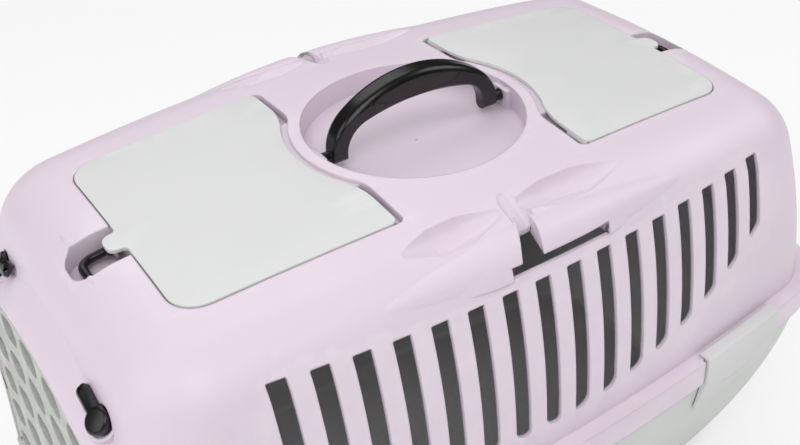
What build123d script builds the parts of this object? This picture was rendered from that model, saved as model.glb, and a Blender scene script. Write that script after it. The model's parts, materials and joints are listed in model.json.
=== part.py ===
from build123d import *
import math
import os

os.makedirs("parts", exist_ok=True)

# A two-part plastic pet carrier, in millimetres. X runs along the carrier with the
# door at -X, Y runs across it, Z is up, and Z = 0 is the surface it stands on.

# Overall body
body_length = 540.0         # cabin wall to cabin wall, measured at the ledge
body_width = 331.0
roof_height = 335.0
ledge_height = 172.6        # top of the ledge, where the cover sits on the tray
wall = 2.8
corner_radius = 50.0
side_plan_radius = 1620.0   # the long sides are slightly barrel shaped
end_plan_radius = 2300.0
side_lean = 26.0            # how far the long sides lean in by roof height
side_lean_power = 2.5
end_lean = 30.0
end_lean_power = 1.15
roof_radius_along = 2427.0
roof_radius_across = 1439.0
shoulder_radius = 44.0

# Ledge and skirt of the cover
ledge_width = 11.5
skirt_depth = 20.2
fit_gap = 0.5               # cover skirt over tray rim
skirt_gap = 0.3

# Tray
tray_taper = 50.0
tray_taper_power = 1.7
tray_base = 3.0             # underside of the tray floor, above the surface
tray_edge_radius = 12.0
foot_length = 52.0
foot_width = 26.0
foot_corner = 6.0
foot_spread_x = 165.0
foot_spread_y = 84.0

# Handle recess and handle
recess_radius = 74.0
recess_floor = 317.4
pivot_height = 326.0
pivot_radius = 4.0
pivot_gap = 0.08            # radial running fit of the handle trunnions
handle_reach = 64.0         # middle of the handle to the outside of a leg
handle_top = 369.2
handle_leg = 11.0
handle_end_radius = 5.4
handle_half_grip = 8.5
handle_edge = 5.2
handle_opening_top = 350.5  # highest point of the gap under the grip
handle_outer_corner = 33.0  # radius of the arch at its shoulders
handle_inner_corner = 20.0
handle_widening = 358.0     # height at which the handle reaches its full breadth
inlay_half_length = 31.0
inlay_half_height = 5.6
inlay_height = 358.2
inlay_depth = 1.2
inlay_sink = 0.4
boss_reach = 69.8
boss_half_width = 8.5
boss_top = 331.0

# Vent slots
slot_count = 16
slot_pitch = 23.5
slot_width = 11.4
slot_top = 299.2
slot_top_rise = 0.00016     # the row of slot tops lifts a little towards the ends
slot_bottom = 190.5
slot_smile_radius = 300.0
slot_corner = 7.8
slot_inner_corner = 3.0
slot_top_corner = 1.2
slot_reach = 115.0          # vents are cut only further out than this

# Belt guide on each long side
guide_half_length = 143.0
guide_radius = 16.0
guide_out = 133.1
guide_height = 310.5
guide_slot_bottom = 305.5
guide_slot_top = 314.5
guide_slot_front = -32.5
guide_slot_rear = 41.5
guide_slot_inner = 128.0    # the slot and the gap are cut only further out than this
gap_inner = (-13.5, -3.0)   # the gap between the flaps, from x to x at its inner end
gap_outer = (-26.5, -10.5)
gap_outer_side = 152.0
lead_in_radius = 7.5        # groove that runs down from the roof into the gap
lead_in_x = -8.0
lead_in_out = 108.0
lead_in_height = 337.5
lead_in_fall = 0.56         # drop per millimetre outward
trough_out = 118.5
trough_height = 333.0
trough_radius = 12.0
trough_tip = 0.45           # tip radius, as a share of the full radius
trough_taper = 0.6          # share of the half length that tapers
trough_front = (-52.0, 36.0)    # middle and half length of the two hollows behind the flaps
trough_rear = (32.0, 44.0)

# Compartment lids
lid_inner_x = 70.7
lid_inner_y = 92.5
lid_outer_x = 201.2
lid_outer_y = 86.2
lid_arc_radius = 86.5
lid_corner = 19.0
lid_small_corner = 5.0
lid_arc_corner = 60.0       # where the straight inner edge runs into the arc
lid_groove_corner = 25.0    # the same corner of the shell
lid_tab_x = 211.0
lid_tab_width = 16.5
tab_side = -5.5             # tabs, pockets and strap loops sit this far off the middle
lid_tab_corner = 6.0
lid_tab_root = 3.4
lid_thickness = 2.5
lid_rise = 0.6
lid_radius_across = 1600.0
lid_gap = 0.8
lid_groove = 4.5
lid_seat_gap = 0.3
lid_seat_land = 7.0
bin_depth = 34.0
bin_floor_corner = 4.0
hinge_x = 72.8
hinge_height = 329.0
hinge_knuckle_radius = 2.3
hinge_pin_radius = 1.1
hinge_pin_length = 17.0
hinge_gap = 0.08
hinge_relief = 2.8          # the shell is cut this far below the hinge axis
hinge_relief_start = 46.0
hinge_knuckle_start = 72.0
hinge_knuckle_end = 90.8
hinge_pin_start = 79.0

# Strap loops
pocket_outer_x = 233.0
pocket_inner_x = 200.0
pocket_half_width = 16.8
pocket_floor = 309.0
pocket_corner = 13.0
loop_width = 26.0
loop_rod = 5.2
loop_outer_x = 227.0
loop_pin_x = 205.5
loop_pin_height = 316.0
loop_drop = 3.0
loop_bend = 7.0
loop_pin_radius = 1.3
loop_pin_gap = 0.08
loop_eye_radius = 3.4
loop_eye_side = 0.4
loop_pin_length = 40.0
pocket_wall = 5.0

# Door, its opening and its collar, drawn in a plane that leans back
door_front = 271.5          # door plane at ledge height, ahead of the middle
door_lean = 4.3
door_half_width = 122.0
door_top = 99.1             # above the ledge, along the door plane
door_bottom = -136.0
door_arch_radius = 294.0
door_top_corner = 26.0
door_bottom_corner = 22.0
collar_rim = 3.0
collar_depth = 34.0
collar_back_top = 154.0
collar_back_arch = 150.0
collar_back_half_width = 138.0
collar_back_bottom = -146.0
collar_back_corner = 46.0
collar_run = 90.0
stop_depth = 9.5            # back of the frame that lines the opening
stop_lip = 4.0
stop_thickness = 2.0
front_margin = 12.0         # ledge and skirt are cut away this far round the opening
door_gap = 1.5
door_inset = 1.2
door_thickness = 5.5
door_frame = 8.0
lattice_pitch = 40.0
lattice_row = 29.5
lattice_rib = 11.0
lattice_corner = 8.4
door_hinge_inset = 5.6
door_barrel_radius = 4.4
door_rod_radius = 2.0
door_rod_gap = 0.08
door_barrel_length = 34.0
door_barrel_spread = 62.0
door_hinge_depth = 2.6
door_ear_radius = 5.2       # ears of the two shells that hold the rod's ends
door_ear_top = 66.0
door_ear_bottom = -124.0
door_ear_length = 10.0
door_rod_seat = 8.0         # length of rod held in each ear
door_ear_clear = 1.0
door_panel_clear = 2.8      # the panel stops this far inboard of the hinge axis
lattice_columns = 6
lattice_rows = 7
catch_bottom = 76.0         # pads on the door that the levers swing in front of
catch_top = 90.0
catch_width = 11.0
catch_front = 2.6           # ahead of the door plane
catch_gap = 0.7             # pad to the rim of the collar behind it

# Door levers
lever_out = 83.0
lever_place = 0.36          # share of the way up the collar's slope
lever_hub_radius = 8.0
lever_arm_width = 8.0
lever_reach = 20.0
lever_height = 5.6
lever_turn = 13.8           # the lever at rest points this far back from straight across
lever_boss_radius = 11.2
lever_boss_height = 1.4     # raised ring round the hub
lever_boss_groove = 9.0
lever_boss_depth = 6.0
lever_round = 0.8
lever_shaft_radius = 3.2
lever_gap = 0.08
lever_lift = 0.4
screw_head_radius = 3.6
screw_head_height = 2.2
screw_radius = 1.3
washer_radius = 5.0
washer_thickness = 1.0
screw_length = 11.0

# Side clips
clip_centre = 160.0
clip_width = 80.0
clip_gap = 0.4
clip_proud = 2.0
clip_plate = 2.4
clip_hinge_height = 121.0
clip_thickness = 2.8
clip_wall_gap = 0.5         # clip to tray wall
clip_side_gap = 0.7         # notch in the skirt, beyond each end of a clip
clip_hook = 8.0             # reach of the hook back over the ledge
clip_round = 2.0

# Derived heights and plan centres
half_length = body_length / 2
half_width = body_width / 2
ledge_under = ledge_height - wall
skirt_bottom = ledge_height - skirt_depth
side_centre = side_plan_radius - half_width
end_centre = end_plan_radius - half_length
cover_rise = roof_height - ledge_height
skirt_inner = ledge_width - wall
rim_offset = skirt_inner - fit_gap
tall = roof_height + 15
bin_floor = roof_height - bin_depth


def plan_corner(a, b):
    """First-quadrant crossing of the long side's arc and the end's arc."""
    k = b * b + 2 * b * side_centre - a * a - 2 * a * end_centre
    p = end_centre / side_centre
    q = k / (2 * side_centre)
    qa = 1 + p * p
    qb = 2 * p * q + 2 * end_centre
    qc = q * q - a * a - 2 * a * end_centre
    x = (-qb + math.sqrt(qb * qb - 4 * qa * qc)) / (2 * qa)
    return x, q + p * x


def plan_face(height, a, b, radius):
    """Barrel-sided rectangle with rounded corners, level at one height."""
    x, y = plan_corner(a, b)
    with BuildSketch(Plane.XY.offset(height)) as plan:
        with BuildLine():
            ThreePointArc((x, y), (0, b), (-x, y))
            ThreePointArc((-x, y), (-a, 0), (-x, -y))
            ThreePointArc((-x, -y), (0, -b), (x, -y))
            ThreePointArc((x, -y), (a, 0), (x, y))
        make_face()
        fillet(plan.vertices(), radius)
    return plan.sketch


def plan_prism(offset, bottom, top):
    """Straight-sided block on the ledge outline, moved out by offset."""
    with BuildPart() as block:
        add(plan_face(bottom, half_length + offset, half_width + offset, corner_radius + offset))
        extrude(amount=top - bottom)
    return block.part


def cover_station(height, inset):
    t = max(0.0, (height - ledge_height) / cover_rise)
    a = half_length - end_lean * t ** end_lean_power - inset
    b = half_width - side_lean * t ** side_lean_power - inset
    return a, b


def tray_station(height, inset):
    t = max(0.0, 1 - height / ledge_under)
    lean = tray_taper * t ** tray_taper_power
    return half_length + rim_offset - lean - inset, half_width + rim_offset - lean - inset


def crown_block(depth, across=roof_radius_across):
    """Everything under the crowned roof surface, sunk by depth."""
    axis_height = roof_height - depth - roof_radius_along
    half_angle = 8.0
    turn = math.radians(half_angle)
    side = half_width + 40
    drop = side * side / (2 * across)
    low = roof_radius_along - roof_height
    top = roof_radius_along
    frame = Plane(origin=(0, 0, axis_height), x_dir=(0, 1, 0),
                  z_dir=(math.cos(turn), 0, math.sin(turn)))
    with BuildPart() as crown:
        with BuildSketch(frame):
            with BuildLine():
                ThreePointArc((-side, top - drop), (0, top), (side, top - drop))
                Polyline((side, top - drop), (side, low), (-side, low), (-side, top - drop))
            make_face()
        revolve(axis=Axis((0, 0, axis_height), (0, 1, 0)), revolution_arc=2 * half_angle)
    return crown.part


def cover_body(inset):
    """Solid body of the cover above the ledge, every face moved in by inset."""
    steps = 6
    crown = crown_block(inset)
    with BuildPart() as body:
        for i in range(steps + 1):
            height = ledge_under + (tall - ledge_under) * i / steps
            a, b = cover_station(height, inset)
            add(plan_face(height, a, b, corner_radius - inset))
        loft()
        add(crown, mode=Mode.INTERSECT)
        top_edges = body.edges().filter_by(lambda e: e.center().Z > roof_height - 60)
        rim = top_edges.filter_by(lambda e: abs(e.tangent_at(0.5).Z) < 0.5)
        fillet(rim, shoulder_radius - inset)
    return body.part


def tray_body(inset, floor):
    """Solid body of the tray from its floor to the underside of the ledge."""
    steps = 4
    radius = corner_radius + rim_offset
    with BuildPart() as body:
        for i in range(steps + 1):
            height = floor + (ledge_under - floor) * i / steps
            a, b = tray_station(height, inset)
            add(plan_face(height, a, b, radius - inset - (1 - i / steps) * 8))
        loft()
        fillet(body.faces().sort_by(Axis.Z)[0].edges(), tray_edge_radius - inset)
    return body.part


def spindle(out, height, reach, radius):
    """Cigar shape along X, from one tip to the other."""
    with BuildPart() as cigar:
        with BuildSketch(Plane(origin=(0, out, height), x_dir=(1, 0, 0), z_dir=(0, -1, 0))):
            with BuildLine():
                ThreePointArc((-reach, 0), (0, radius), (reach, 0))
                Line((reach, 0), (-reach, 0))
            make_face()
        revolve(axis=Axis((0, out, height), (1, 0, 0)))
    return cigar.part


lean = math.radians(door_lean)
door_plane = Plane(origin=(-door_front, 0, ledge_height), x_dir=(0, -1, 0),
                   z_dir=(-math.cos(lean), 0, math.sin(lean)))


def door_face(depth, side, top, arch, bottom, top_corner, bottom_corner):
    """Arch-topped outline in the door plane, depth behind it."""
    shoulder = top - arch + math.sqrt(arch * arch - side * side)
    with BuildSketch(door_plane.offset(-depth)) as outline:
        with BuildLine():
            ThreePointArc((-side, shoulder), (0, top), (side, shoulder))
            Polyline((side, shoulder), (side, bottom), (-side, bottom), (-side, shoulder))
        make_face()
        fillet(outline.vertices().group_by(Axis.Y)[0], bottom_corner)
        fillet(outline.vertices().group_by(Axis.Y)[-1], top_corner)
    return outline.sketch


def opening_face(depth, offset):
    return door_face(depth, door_half_width + offset, door_top + offset,
                     door_arch_radius + offset, door_bottom - offset,
                     door_top_corner + offset, door_bottom_corner + offset)


def opening_prism(start, end, offset):
    with BuildPart() as prism:
        add(opening_face(start, offset))
        extrude(amount=start - end, dir=door_plane.z_dir)
    return prism.part


def collar_back_face(depth, inset):
    return door_face(depth, collar_back_half_width - inset, collar_back_top - inset,
                     collar_back_arch - inset, collar_back_bottom + inset,
                     collar_back_corner - inset, door_bottom_corner + 10 - inset)


def collar_body(inset):
    """Flared hood round the door opening, and its straight run into the walls."""
    with BuildPart() as collar:
        add(opening_face(inset, collar_rim - inset))
        add(collar_back_face(collar_depth, inset))
        loft(ruled=True)
    with BuildPart() as run:
        add(collar_back_face(collar_depth, inset))
        extrude(amount=-collar_run, dir=door_plane.z_dir)
    return collar.part + run.part


def half_space(height, keep_above):
    """Large block above or below one level, for trimming."""
    side = Align.MIN if keep_above else Align.MAX
    with BuildPart() as block:
        with Locations((0, 0, height)):
            Box(4 * body_length, 4 * body_length, 4 * roof_height,
                align=(Align.CENTER, Align.CENTER, side))
    return block.part


def box_between(low, high):
    """Block between two opposite corners."""
    with BuildPart() as block:
        with Locations(tuple((a + b) / 2 for a, b in zip(low, high))):
            Box(*(b - a for a, b in zip(low, high)))
    return block.part


def bar(start, direction, length, radius):
    """Round bar from a start point along a direction."""
    with BuildPart() as rod:
        with BuildSketch(Plane(origin=start, z_dir=direction)):
            Circle(radius)
        extrude(amount=length)
    return rod.part


def column(face, bottom, top):
    """Upright block on a plan face."""
    with BuildPart() as block:
        add(face.moved(Location((0, 0, bottom))))
        extrude(amount=top - bottom)
    return block.part


door_up = Vector(math.sin(lean), 0, math.cos(lean))
door_back = Vector(math.cos(lean), 0, -math.sin(lean))


def door_point(y, up, depth):
    """Point given across the door, up from the ledge and back from the door plane."""
    return door_plane.origin + Vector(0, y, 0) + door_up * up + door_back * depth


def stop_frame():
    """Thin lining of the door opening with the lip that the door closes against."""
    sleeve = opening_prism(0, stop_depth, wall) - opening_prism(0, stop_depth, 0)
    lip_start = stop_depth - stop_thickness
    lip = opening_prism(lip_start, stop_depth, wall) - opening_prism(lip_start, stop_depth, -stop_lip)
    return sleeve + lip


def lid_outline(side, grow, groove, tab=True):
    """Plan of a lid; side is -1 at the front and 1 at the rear."""
    ix = lid_inner_x - groove
    iy = lid_inner_y + grow
    ox = lid_outer_x + grow
    oy = lid_outer_y + grow
    radius = lid_arc_radius - groove
    arc_y = math.sqrt(radius * radius - ix * ix)
    with BuildSketch(Plane.XY) as plan:
        with BuildLine():
            Line((side * ix, arc_y), (side * ix, iy))
            Line((side * ix, iy), (side * ox, oy))
            Line((side * ox, oy), (side * ox, -oy))
            Line((side * ox, -oy), (side * ix, -iy))
            Line((side * ix, -iy), (side * ix, -arc_y))
            ThreePointArc((side * ix, -arc_y), (side * radius, 0), (side * ix, arc_y))
        make_face()
        fillet(plan.vertices().filter_by(lambda v: abs(v.X) > lid_outer_x - 20), lid_corner + grow)
        fillet(plan.vertices().filter_by(
            lambda v: abs(v.X) < lid_arc_radius and abs(v.Y) > iy - 1), lid_small_corner)
        fillet(plan.vertices().filter_by(lambda v: abs(abs(v.Y) - arc_y) < 0.1),
               lid_groove_corner if groove > 0 else lid_arc_corner)
        if tab:
            reach = lid_tab_x - lid_outer_x + 10
            with Locations((side * (lid_tab_x + grow - reach / 2), tab_side)):
                Rectangle(reach, lid_tab_width + 2 * grow)
            tip = plan.vertices().filter_by(lambda v: abs(v.X) > lid_tab_x + grow - 0.5)
            fillet(tip, lid_tab_corner)
            root = plan.vertices().filter_by(lambda v: abs(abs(v.X) - ox) < 0.1
                                             and abs(v.Y - tab_side) < lid_tab_width)
            fillet(root, lid_tab_root)
    return plan.sketch


def lid_block(side, grow, groove, depth):
    """Upright block on a lid's plan, kept only under the lid surface sunk by depth."""
    block = column(lid_outline(side, grow, groove), bin_floor, tall)
    return block & crown_block(depth, lid_radius_across)


def pocket_block(side, grow):
    """Pocket of a strap loop."""
    length = pocket_outer_x - pocket_inner_x + 2 * grow
    with BuildPart() as pocket:
        with BuildSketch(Plane.XY.offset(pocket_floor - grow)) as plan:
            with Locations((side * (pocket_outer_x + pocket_inner_x) / 2, tab_side)):
                Rectangle(length, 2 * (pocket_half_width + grow))
            fillet(plan.vertices().filter_by(lambda v: abs(v.X) > pocket_outer_x - 1),
                   pocket_corner)
        extrude(amount=tall)
    return pocket.part


def trough(middle, side, reach, radius):
    """Long hollow with tapered, rounded ends, lying along X."""
    tip = radius * trough_tip
    slope = (radius - tip) / (reach * trough_taper)
    turn = math.atan(slope)
    shift = middle - reach + tip
    with BuildPart() as hollow:
        with BuildSketch(Plane(origin=(0, side * trough_out, trough_height), x_dir=(1, 0, 0),
                               z_dir=(0, -1, 0))):
            with BuildLine():
                left = (shift - tip * math.sin(turn), tip * math.cos(turn))
                right = (2 * middle - left[0], left[1])
                rise = (radius - left[1]) / slope
                Line((shift - tip, 0), (2 * middle - shift + tip, 0))
                RadiusArc((shift - tip, 0), left, tip)
                Line(left, (left[0] + rise, radius))
                Line((left[0] + rise, radius), (right[0] - rise, radius))
                Line((right[0] - rise, radius), right)
                RadiusArc(right, (2 * middle - shift + tip, 0), tip)
            make_face()
        revolve(axis=Axis((0, side * trough_out, trough_height), (1, 0, 0)))
    return hollow.part


def lead_in(side, radius):
    """Round groove that falls from the roof into the gap between two flaps."""
    fall = Vector(0, side, -lead_in_fall).normalized()
    length = (guide_slot_inner - lead_in_out) * math.hypot(1, lead_in_fall)
    return bar((lead_in_x, side * lead_in_out, lead_in_height), fall, length + radius / 2, radius)


def guide_cuts(side):
    """Slot under the two flaps of a belt guide, and the gap between them."""
    slot = box_between((guide_slot_front, min(side * guide_slot_inner, side * body_width),
                        guide_slot_bottom),
                       (guide_slot_rear, max(side * guide_slot_inner, side * body_width),
                        guide_slot_top))
    inner_y = side * guide_slot_inner
    outer_y = side * gap_outer_side
    with BuildPart() as gap:
        with BuildSketch(Plane.XY.offset(guide_slot_bottom)):
            with BuildLine():
                Polyline((gap_inner[0], inner_y), (gap_inner[1], inner_y),
                         (gap_outer[1], outer_y), (gap_outer[0], outer_y),
                         (gap_inner[0], inner_y))
            make_face()
        extrude(amount=tall - guide_slot_bottom)
    return slot + gap.part


def slot_row():
    """Outlines of the vents in a long side, seen from the side."""
    half = slot_width / 2
    with BuildSketch(Plane(origin=(0, slot_reach, 0), x_dir=(1, 0, 0), z_dir=(0, -1, 0))) as row:
        for i in range(slot_count):
            x = (i - (slot_count - 1) / 2) * slot_pitch
            top = slot_top + slot_top_rise * x * x
            low = slot_bottom + slot_smile_radius
            left = low - math.sqrt(slot_smile_radius ** 2 - (x - half) ** 2)
            right = low - math.sqrt(slot_smile_radius ** 2 - (x + half) ** 2)
            outer_x = x + half if x > 0 else x - half
            outer_z = right if x > 0 else left
            with BuildSketch(mode=Mode.PRIVATE) as slot:
                with BuildLine():
                    Polyline((x - half, top), (x + half, top), (x + half, right),
                             (x - half, left), (x - half, top))
                make_face()
                corner = slot.vertices().sort_by_distance((outer_x, outer_z))[0]
                fillet(corner, slot_corner)
                near = slot.vertices().filter_by(
                    lambda v: abs(v.X - outer_x) > 2 * half - 0.1 and v.Y < top - 1)
                fillet(near, slot_inner_corner)
                fillet(slot.vertices().filter_by(lambda v: v.Y > top - 1), slot_top_corner)
            add(slot.sketch)
    return row.sketch


def slot_cuts():
    face = slot_row()
    cuts = []
    for side in (-1, 1):
        with BuildPart() as cut:
            add(face if side < 0 else face.mirror(Plane.XZ))
            extrude(amount=body_width, dir=(0, side, 0))
        cuts.append(cut.part)
    return cuts


def lever_plane(side):
    """Seat of a lever on the slope of the collar; X points along the lever at rest."""
    front = door_top + collar_rim - lever_out ** 2 / (2 * (door_arch_radius + collar_rim))
    back = collar_back_top - lever_out ** 2 / (2 * collar_back_arch)
    seat = door_point(side * lever_out, front + lever_place * (back - front),
                      lever_place * collar_depth)
    normal = (door_back * (front - back) + door_up * collar_depth).normalized()
    normal = (normal + Vector(0, side * 0.23, 0)).normalized()
    inward = Vector(0, -side, 0)
    inward = (inward - normal * inward.dot(normal)).normalized()
    turned = inward.rotate(Axis((0, 0, 0), normal), side * lever_turn)
    return Plane(origin=seat, x_dir=turned, z_dir=normal)


def lever_disc(side, radius, low, high):
    seat = lever_plane(side)
    return bar(seat.origin + seat.z_dir * low, seat.z_dir, high - low, radius)


def roof_slab(side, low, high):
    return box_between(low, high) if side > 0 else box_between(
        (-high[0], low[1], low[2]), (-low[0], high[1], high[2]))


# Solids shared by the two shells
cover_outer = cover_body(0)
cover_inner = cover_body(wall)
collar_outer = collar_body(0)
collar_inner = collar_body(wall)
front_cut = opening_prism(-front_margin * 3, 0, front_margin)
door_passage = opening_prism(-front_margin * 3, stop_depth, 0) + opening_prism(
    0, collar_run, -stop_lip)
lining = stop_frame()
ledge_block = plan_prism(ledge_width, skirt_bottom, ledge_height)
skirt_hollow = plan_prism(skirt_inner, skirt_bottom - ledge_width, ledge_under)
above_ledge = half_space(ledge_under, True)
below_ledge = half_space(ledge_under, False)
hinge_y = door_half_width - door_hinge_inset
ear_top = bar(door_point(hinge_y, door_ear_top, door_hinge_depth), door_up,
              door_ear_length, door_ear_radius)
ear_bottom = bar(door_point(hinge_y, door_ear_bottom, door_hinge_depth), -door_up,
                 door_ear_length, door_ear_radius)
rod_start = door_ear_bottom - door_rod_seat
rod_length = door_ear_top - door_ear_bottom + 2 * door_rod_seat
rod_bore = bar(door_point(hinge_y, rod_start, door_hinge_depth), door_up, rod_length,
               door_rod_radius + door_rod_gap)
clip_zone = []
clip_spread = 1 + (ledge_width + clip_proud) / side_plan_radius
notch_start = clip_centre - clip_width / 2 - clip_side_gap
notch_end = (clip_centre + clip_width / 2) * clip_spread + clip_side_gap
for end in (-1, 1):
    for across in (-1, 1):
        y_range = sorted((across * slot_reach, across * body_width))
        clip_zone.append(roof_slab(end, (notch_start, y_range[0], skirt_bottom - 10),
                                   (notch_end, y_range[1], ledge_height))
                         - plan_prism(rim_offset + 0.1, skirt_bottom - 15, tall))

# Upper shell
kept = [bar((0, 0, recess_floor - wall), (0, 0, 1), tall, recess_radius + wall),
        lining & above_ledge]
hollows = [bar((0, 0, recess_floor), (0, 0, 1), tall, recess_radius), door_passage, rod_bore]
bores = []
for side in (-1, 1):
    seat_depth = lid_thickness - lid_rise + lid_seat_gap
    kept.append(column(lid_outline(side, wall - lid_seat_land, wall - lid_seat_land, False),
                       bin_floor - wall, tall))
    kept.append(column(lid_outline(side, lid_gap + wall, lid_groove + wall), bin_floor, tall)
                - crown_block(seat_depth + wall, lid_radius_across))
    kept.append(pocket_block(side, pocket_wall))
    with BuildPart() as storage:
        add(column(lid_outline(side, -lid_seat_land, -lid_seat_land, False), bin_floor, tall))
        fillet(storage.faces().sort_by(Axis.Z)[0].edges(), bin_floor_corner)
    hollows.append(storage.part)
    hollows.append(column(lid_outline(side, lid_gap, lid_groove), bin_floor, tall)
                   - crown_block(seat_depth, lid_radius_across))
    hollows.append(pocket_block(side, 0))
    for across in (-1, 1):
        relief = sorted((across * hinge_relief_start, across * (lid_inner_y + lid_gap)))
        low_x = lid_inner_x - lid_groove
        high_x = hinge_x + hinge_knuckle_radius + lid_gap
        hollows.append(roof_slab(side, (low_x, relief[0], hinge_height - hinge_relief),
                                 (high_x, relief[1], tall))
                       & column(lid_outline(side, lid_gap, lid_groove), bin_floor, tall))
        kept.append(roof_slab(side, (low_x - wall, relief[0] - wall,
                                     hinge_height - hinge_relief - wall),
                              (high_x + wall, relief[1] + wall, tall)))
        kept.append(bar((side * hinge_x, across * (lid_inner_y + lid_gap), hinge_height),
                        (0, across, 0), 5, 5))
        bores.append(bar((side * hinge_x, across * hinge_pin_start, hinge_height),
                         (0, across, 0), hinge_pin_length, hinge_pin_radius))
    bores.append(bar((side * loop_pin_x, tab_side - loop_pin_length / 2, loop_pin_height),
                     (0, 1, 0), loop_pin_length, loop_pin_radius))
    kept.append(lever_disc(side, lever_boss_radius, -lever_boss_depth, 0))
    kept.append(lead_in(side, lead_in_radius + wall))
    hollows.append(lead_in(side, lead_in_radius))
    hollows.append(guide_cuts(side))
    for middle, reach in (trough_front, trough_rear):
        hollows.append(trough(middle, side, reach, trough_radius))
        kept.append(trough(middle, side, reach + wall, trough_radius + wall))
    hollows.append(lever_disc(side, lever_boss_groove, 0, 8))
    hollows.append(lever_disc(side, lever_shaft_radius + lever_gap, -20, 20))

with BuildPart() as cabin:
    add(cover_inner)
    add(collar_inner)
    add(half_space(ledge_under - 1, True), mode=Mode.INTERSECT)
    add(skirt_hollow)
    for side in (-1, 1):
        add(spindle(side * guide_out, guide_height, guide_half_length - 4 * wall,
                    guide_radius - wall))
    add(kept, mode=Mode.SUBTRACT)
cabin_hollow = cabin.part

with BuildPart() as upper_shell:
    add(ledge_block)
    add(front_cut, mode=Mode.SUBTRACT)
    add(collar_outer & above_ledge)
    add(cover_outer)
    for side in (-1, 1):
        add(spindle(side * guide_out, guide_height, guide_half_length, guide_radius))
        add(lever_disc(side, lever_boss_radius, -lever_boss_depth, lever_boss_height))
    add(ear_top)
    add(cabin_hollow, mode=Mode.SUBTRACT)
    add(hollows, mode=Mode.SUBTRACT)
    for side in (-1, 1):
        add(roof_slab(side, (boss_reach, -boss_half_width, recess_floor - 1),
                      (recess_radius + 2, boss_half_width, boss_top)))
        add(bar((side * handle_reach, 0, pivot_height), (side, 0, 0),
                recess_radius + 1 - handle_reach, pivot_radius + pivot_gap), mode=Mode.SUBTRACT)
    add(bores, mode=Mode.SUBTRACT)
    add(slot_cuts(), mode=Mode.SUBTRACT)
    add(clip_zone, mode=Mode.SUBTRACT)
upper_shell.part.label = "upper_shell"
export_step(upper_shell.part, "parts/upper_shell.step")

# Lower shell
feet = []
for x in (-foot_spread_x, foot_spread_x):
    for y in (-foot_spread_y, foot_spread_y):
        with BuildPart() as foot:
            with BuildSketch(Plane.XY):
                with Locations((x, y)):
                    RectangleRounded(foot_length, foot_width, foot_corner)
            extrude(amount=tray_base + wall / 2)
        feet.append(foot.part)
with BuildPart() as inside:
    add(tray_body(wall, tray_base + wall))
    add(collar_inner & below_ledge)
    add(plan_prism(rim_offset - wall, ledge_under - wall, ledge_under + wall))
    add([lining, bar(door_point(hinge_y, door_ear_bottom, door_hinge_depth), -door_up,
                     door_ear_length, door_ear_radius)], mode=Mode.SUBTRACT)
tray_hollow = inside.part
rim_zone = (half_space(skirt_bottom - skirt_gap, True)
            - plan_prism(rim_offset, skirt_bottom - ledge_width, tall))
with BuildPart() as lower_shell:
    add(tray_body(0, tray_base))
    add(front_cut, mode=Mode.SUBTRACT)
    add(collar_outer & below_ledge)
    add(feet)
    add(ear_bottom)
    add(tray_hollow, mode=Mode.SUBTRACT)
    add(door_passage, mode=Mode.SUBTRACT)
    add(rod_bore, mode=Mode.SUBTRACT)
    add(rim_zone, mode=Mode.SUBTRACT)
lower_shell.part.label = "lower_shell"
export_step(lower_shell.part, "parts/lower_shell.step")

# Door
panel_back = door_inset + door_thickness
barrel_middle = (door_top + door_bottom) / 2
with BuildPart() as door:
    add(opening_prism(door_inset, panel_back, -door_gap))
    with BuildSketch(door_plane.offset(-panel_back)) as holes:
        for i in range(lattice_columns):
            start = (i - lattice_columns / 2) * lattice_pitch + lattice_rib / 2
            end = start + lattice_pitch - lattice_rib
            limit = door_half_width - door_gap - door_frame
            start = max(start, -limit)
            end = min(end, limit)
            for j in range(lattice_rows):
                top = door_top - door_gap - door_frame - j * lattice_row
                bottom = top - lattice_row + lattice_rib
                low = door_bottom + door_gap + door_frame
                drop_start = start * start / (2 * door_arch_radius)
                drop_end = end * end / (2 * door_arch_radius)
                with BuildLine():
                    Polyline((start, top - drop_start), (end, top - drop_end),
                             (end, max(bottom - drop_end, low)),
                             (start, max(bottom - drop_start, low)), (start, top - drop_start))
                make_face()
        fillet(holes.vertices(), lattice_corner)
    extrude(amount=door_thickness, mode=Mode.SUBTRACT)
    with BuildSketch(door_plane.offset(-panel_back - 1)):
        with Locations((door_panel_clear - hinge_y - 10, (door_top + door_bottom) / 2)):
            Rectangle(20, 2 * door_half_width + 40)
    extrude(amount=door_thickness + 2, mode=Mode.SUBTRACT)
    for ear_start, way in ((door_ear_top - door_ear_clear, 1), (door_ear_bottom + door_ear_clear, -1)):
        add(bar(door_point(hinge_y, ear_start - way * 1.5, door_hinge_depth), door_up * way,
                2 * door_ear_length, door_ear_radius + door_ear_clear), mode=Mode.SUBTRACT)
    for offset_up in (-door_barrel_spread, door_barrel_spread):
        low = barrel_middle + offset_up - door_barrel_length / 2
        add(bar(door_point(hinge_y, low, door_hinge_depth), door_up, door_barrel_length,
                door_barrel_radius))
    for side in (-1, 1):
        with BuildSketch(door_plane.offset(catch_front)):
            with Locations((side * lever_out, (catch_top + catch_bottom) / 2)):
                RectangleRounded(catch_width, catch_top - catch_bottom, 2)
        extrude(amount=catch_gap - catch_front)
        root_top = door_top - door_gap - lever_out ** 2 / (2 * door_arch_radius) - 1
        with BuildSketch(door_plane.offset(catch_gap + 0.1)):
            with Locations((side * lever_out, (root_top + catch_bottom) / 2)):
                RectangleRounded(catch_width, root_top - catch_bottom, 2)
        extrude(amount=-door_inset - catch_gap - 0.2)
    add(rod_bore, mode=Mode.SUBTRACT)
door.part.label = "door"
export_step(door.part, "parts/door.step")

with BuildPart() as door_hinge_rod:
    add(bar(door_point(hinge_y, rod_start + 0.3, door_hinge_depth), door_up, rod_length - 0.6,
            door_rod_radius))
door_hinge_rod.part.label = "door_hinge_rod"
export_step(door_hinge_rod.part, "parts/door_hinge_rod.step")

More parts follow.
